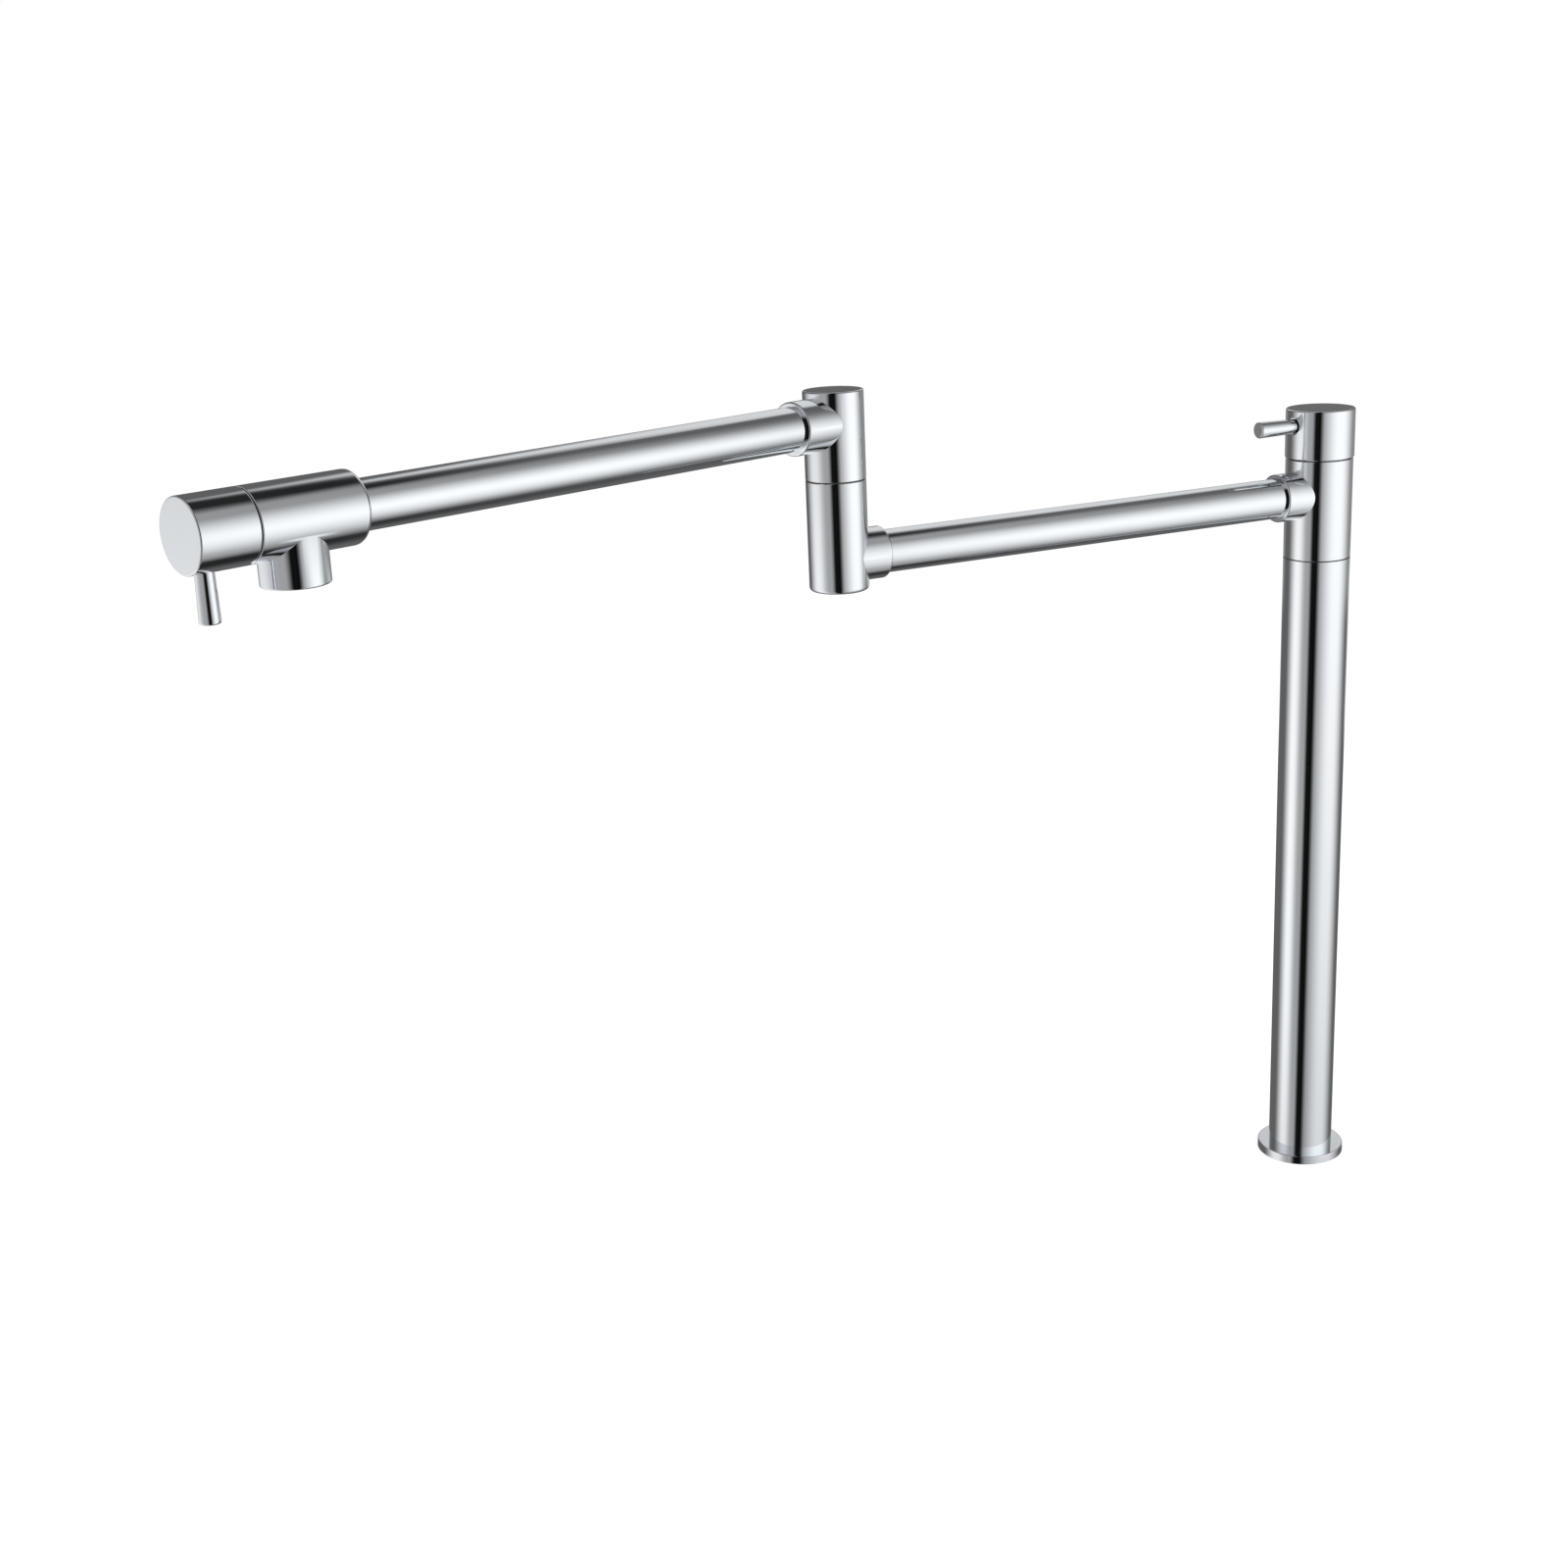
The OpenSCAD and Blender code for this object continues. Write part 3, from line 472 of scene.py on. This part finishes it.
def upper_elbow():
    """Upper half of the elbow, bored for the spindle, with the upper arm's boss."""
    arm_line = UPPER_ARM_PLACE @ along_arm(ARM_2_LEVEL)
    spindle_top = ELBOW_FOOT + SPINDLE_DEPTH
    bore = turned([
        (ELBOW_SPINDLE_R, ELBOW_FOOT - OVERRUN), (ELBOW_SPINDLE_R, spindle_top),
        (ELBOW_WAY_R, spindle_top), (ELBOW_WAY_R, ARM_2_LEVEL + ELBOW_WAY_R)], ELBOW_PLACE)
    body = turned(rounded(ELBOW_R, ELBOW_FOOT, SEAM_ROUND, upper=False)
                  + [(ELBOW_R, ARM_2_LEVEL - BOSS_R - RING_GAP)]
                  + rounded(ELBOW_R, ELBOW_TOP, CAP_ROUND), UPPER_ARM_PLACE)
    combined(body, "UNION", boss(BOSS_L, BOSS_ROUND, arm_line))
    return combined(body, "DIFFERENCE", bore, arm_bore(ELBOW_WAY_R, BOSS_L, arm_line),
                    lock_hole(ELBOW_FOOT, ELBOW_R, UPPER_ARM_PLACE))


def end_valve_body():
    """Valve body at the end of the upper arm, with its spout."""
    socket_end = SOCKET_DEPTH - VALVE_BACK_L
    spout = turned(rounded(SPOUT_R, -SPOUT_DROP, SPOUT_ROUND, upper=False) + [(SPOUT_R, 0)], SPOUT_PLACE)
    spout_bore = turned([
        (AERATOR_R, -SPOUT_DROP - OVERRUN), (AERATOR_R, -AERATOR_POCKET),
        (SPOUT_WAY_R, -AERATOR_POCKET), (SPOUT_WAY_R, 0)], SPOUT_PLACE)
    valve_bore = turned([
        (SOCKET_R, -VALVE_BACK_L - OVERRUN), (SOCKET_R, socket_end),
        (SEAT_HOLE_R, socket_end), (SEAT_HOLE_R, 0),
        (POCKET_R, 0), (POCKET_R, VALVE_DEPTH + OVERRUN)], END_VALVE_PLACE)
    body = turned(rounded(VALVE_R, -VALVE_BACK_L, VALVE_ROUND, upper=False)
                  + [(VALVE_R, SPOUT_PORT_RISE - SPOUT_R - RING_GAP),
                     (VALVE_R, SPOUT_PORT_RISE + SPOUT_R + RING_GAP)]
                  + rounded(VALVE_R, VALVE_DEPTH, SEAM_ROUND), END_VALVE_PLACE)
    combined(body, "UNION", spout)
    return combined(body, "DIFFERENCE", valve_bore, spout_bore)


def cap(radius, place):
    """Cap with its cavity, its stem's hole, and the threaded hole and recess of its lever."""
    inner = radius - CAP_WALL
    shell = turned([(STEM_HOLE_R, STEM_HOLE_TOP), (STEM_HOLE_R, CAP_FLOOR),
                    (inner, CAP_FLOOR), (inner, CAP_FOOT)]
                   + rounded(radius, CAP_FOOT, CAP_ROUND, upper=False)
                   + rounded(radius, CAP_TOP, CAP_ROUND), place)
    step = radius - RECESS_DEPTH
    hole = turned([(GRUB_R, 0), (GRUB_R, step), (RECESS_R, step), (RECESS_R, radius + OVERRUN)],
                  place @ along_arm(LEVER_LEVEL))
    return combined(shell, "DIFFERENCE", hole)


def lever(radius, reach, place):
    """Tapered lever with its threaded spigot, on a cap of the given radius."""
    root = radius - RECESS_DEPTH
    spigot_r = GRUB_R - FIT_GAP
    return turned([(spigot_r, GRUB_OUT + FREE_GAP), (spigot_r, root), (LEVER_ROOT_R, root),
                   (LEVER_TIP_R, reach - 2 * LEVER_ROUND)] + rounded(LEVER_TIP_R, reach, LEVER_ROUND),
                  place @ along_arm(LEVER_LEVEL))


polished(flange(), "base_flange", "column")
polished(tee(), "tee_body", "lower_arm")
polished(lower_elbow(), "elbow_lower", "lower_arm")
polished(upper_elbow(), "elbow_upper", "upper_arm")
polished(end_valve_body(), "end_valve_body", "upper_arm")
polished(cap(TOP_CAP_R, COLUMN_VALVE_PLACE), "top_cap", "top_handle")
polished(lever(TOP_CAP_R, TOP_LEVER_REACH, COLUMN_VALVE_PLACE), "top_lever", "top_handle")
polished(cap(END_CAP_R, END_VALVE_PLACE), "end_cap", "end_handle")
polished(lever(END_CAP_R, END_LEVER_REACH, END_VALVE_PLACE), "end_lever", "end_handle")


# Studio

def floor_paper(shader, place):
    fibres = shader.noise(place, scale=260.0, detail=4.0, roughness=0.6)
    drift = shader.noise(place, scale=1.4, detail=2.0)
    colour = shader.mix(fibres, (0.78, 0.78, 0.78, 1), (0.82, 0.82, 0.82, 1))
    paper = shader.node("ShaderNodeBsdfDiffuse", None, {"Color": colour}).outputs[0]
    seen = Value(shader, shader.node("ShaderNodeLightPath").outputs["Is Camera Ray"])
    glow = shader.emission(seen * (FLOOR_GLOW + FLOOR_GLOW_DRIFT * drift))
    return shader.node("ShaderNodeAddShader", None, {0: paper, 1: glow}).outputs[0]


def at_least(least, mask):
    """A mask from 0 to 1, raised so that it runs from the given least value to 1."""
    return least + (1 - least) * mask


def tent_cloth(shader, place):
    """Light of the tent: panels on dim cloth, by degrees round the column and metres of height."""
    axes = shader.node("ShaderNodeSeparateXYZ", None, {0: place}).outputs
    z = Value(shader, axes[2])
    turn = shader.maths("ARCTAN2", axes[1], axes[0]) * math.degrees(1)
    turn_back = shader.wrapped(turn, -180.0)
    turn_front = shader.wrapped(turn, 100.0)
    turn_side = shader.wrapped(turn, 0.0)
    right = (shader.between(turn_front, rise=(215.8, 297.3), fall=(311.6, 369.4))
             * at_least(0.31, shader.smooth(z, low=-1.35, high=0.65))
             * at_least(0.19, 1 - shader.smooth(z, low=0.11, high=1.66)))
    left = (shader.between(turn_side, rise=(120.0, 168.0), fall=(156.2, 199.4))
            * at_least(0.53, shader.smooth(z, low=-0.90, high=-0.15))
            * (1 - shader.smooth(z, low=0.07, high=1.00)))
    left_edge = shader.between(turn_side, rise=(160.8, 179.9), fall=(226.0, 231.0))
    back = (shader.around(turn_back, centre=64.0, half=17.3, fade=19.8)
            * shader.between(z, rise=(0.61, 0.84), fall=(1.51, 2.58)))
    low_back = (shader.around(turn_back, centre=46.7, half=14.2, fade=24.1)
                * shader.around(z, centre=0.08, half=0.06, fade=0.06))
    above_arms = (shader.between(turn_back, rise=(-46.8, -5.0), fall=(77.4, 105.9))
                  * shader.between(z, rise=(0.10, 0.16), fall=(0.39, 0.65)))
    low_panel = (shader.around(turn_back, centre=54.0, half=14.0, fade=12.0)
                 * shader.around(z, centre=0.49, half=0.04, fade=0.05))
    middle = shader.between(z, rise=(-2.42, -0.50), fall=(2.17, 2.97))
    lens_gap = shader.between(turn_side, rise=(204.0, 218.0), fall=(230.5, 247.0))
    light = (END_CLOTH + MIDDLE_CLOTH * middle + ABOVE_ARMS_LIGHT * above_arms
             + RIGHT_LIGHT * right + LEFT_LIGHT * left + LEFT_EDGE_LIGHT * left_edge
             + BACK_LIGHT * back + LOW_BACK_LIGHT * low_back + LOW_PANEL_LIGHT * low_panel)
    return shader.emission(light * (1 - LENS_GAP_SHADE * lens_gap))


def only_mirrored(piece):
    """Shows the piece only to rays that a surface has mirrored or let through."""
    piece.visible_camera = False
    piece.visible_diffuse = False
    piece.visible_volume_scatter = False
    piece.visible_shadow = False


def soft_lamp(name, place, power):
    bpy.ops.object.light_add(type="AREA", location=place)
    lamp = bpy.context.object
    lamp.name = name
    lamp.rotation_euler = (Vector(LAMP_AIM) - Vector(place)).to_track_quat("-Z", "Y").to_euler()
    lamp.data.size = LAMP_SIZE
    lamp.data.energy = power
    lamp.visible_glossy = False


bpy.ops.mesh.primitive_plane_add(size=FLOOR_SIZE, location=(0.0, 0.0, 0.0))
floor = bpy.context.object
floor.name = "studio_floor"
floor.data.materials.append(finish("pale_floor_paper", floor_paper))
floor.visible_glossy = False

bpy.ops.mesh.primitive_cylinder_add(
    vertices=TENT_SIDES, radius=TENT_RADIUS, depth=TENT_TOP - TENT_BOTTOM,
    location=(0, 0, (TENT_TOP + TENT_BOTTOM) / 2))
bpy.ops.object.transform_apply(location=True, rotation=True, scale=True)
tent = bpy.context.object
tent.name = "light_tent"
tent.data.materials.append(finish("lit_tent_cloth", tent_cloth))
tent.data.materials[0].cycles.emission_sampling = "NONE"
only_mirrored(tent)

soft_lamp("key_softbox", place=(-1.1, -0.9, 1.5), power=9.0)
soft_lamp("fill_softbox", place=(0.9, -0.8, 1.1), power=5.0)

world = bpy.data.worlds.new("white_studio")
bpy.context.scene.world = world
world.use_nodes = True
air = Shader(world.node_tree)
path = air.node("ShaderNodeLightPath").outputs
white_rays = (Value(air, path["Is Camera Ray"]) + Value(air, path["Is Glossy Ray"])
              + Value(air, path["Is Transmission Ray"]))
white_rays = air.maths("MINIMUM", white_rays, 1.0)
sky = air.node("ShaderNodeBackground", None,
               {"Color": WHITE, "Strength": SKY_LIGHT + (SKY_SEEN - SKY_LIGHT) * white_rays})
air.node("ShaderNodeOutputWorld", None, {"Surface": sky.outputs[0]})

# Camera

bpy.ops.object.camera_add()
camera = bpy.context.object
camera.name = "photo_camera"
camera.matrix_world = (
    Matrix.Translation(CAMERA_PLACE)
    @ Matrix.Rotation(math.radians(CAMERA_HEADING), 4, "Z")
    @ Matrix.Rotation(math.radians(90 - CAMERA_DIP), 4, "X")
    @ Matrix.Rotation(math.radians(CAMERA_ROLL), 4, "Z"))
camera.data.sensor_width = CAMERA_SENSOR
camera.data.lens = CAMERA_LENS
camera.data.clip_end = CAMERA_FAR
bpy.context.scene.camera = camera
bpy.context.scene.view_settings.view_transform = "Standard"
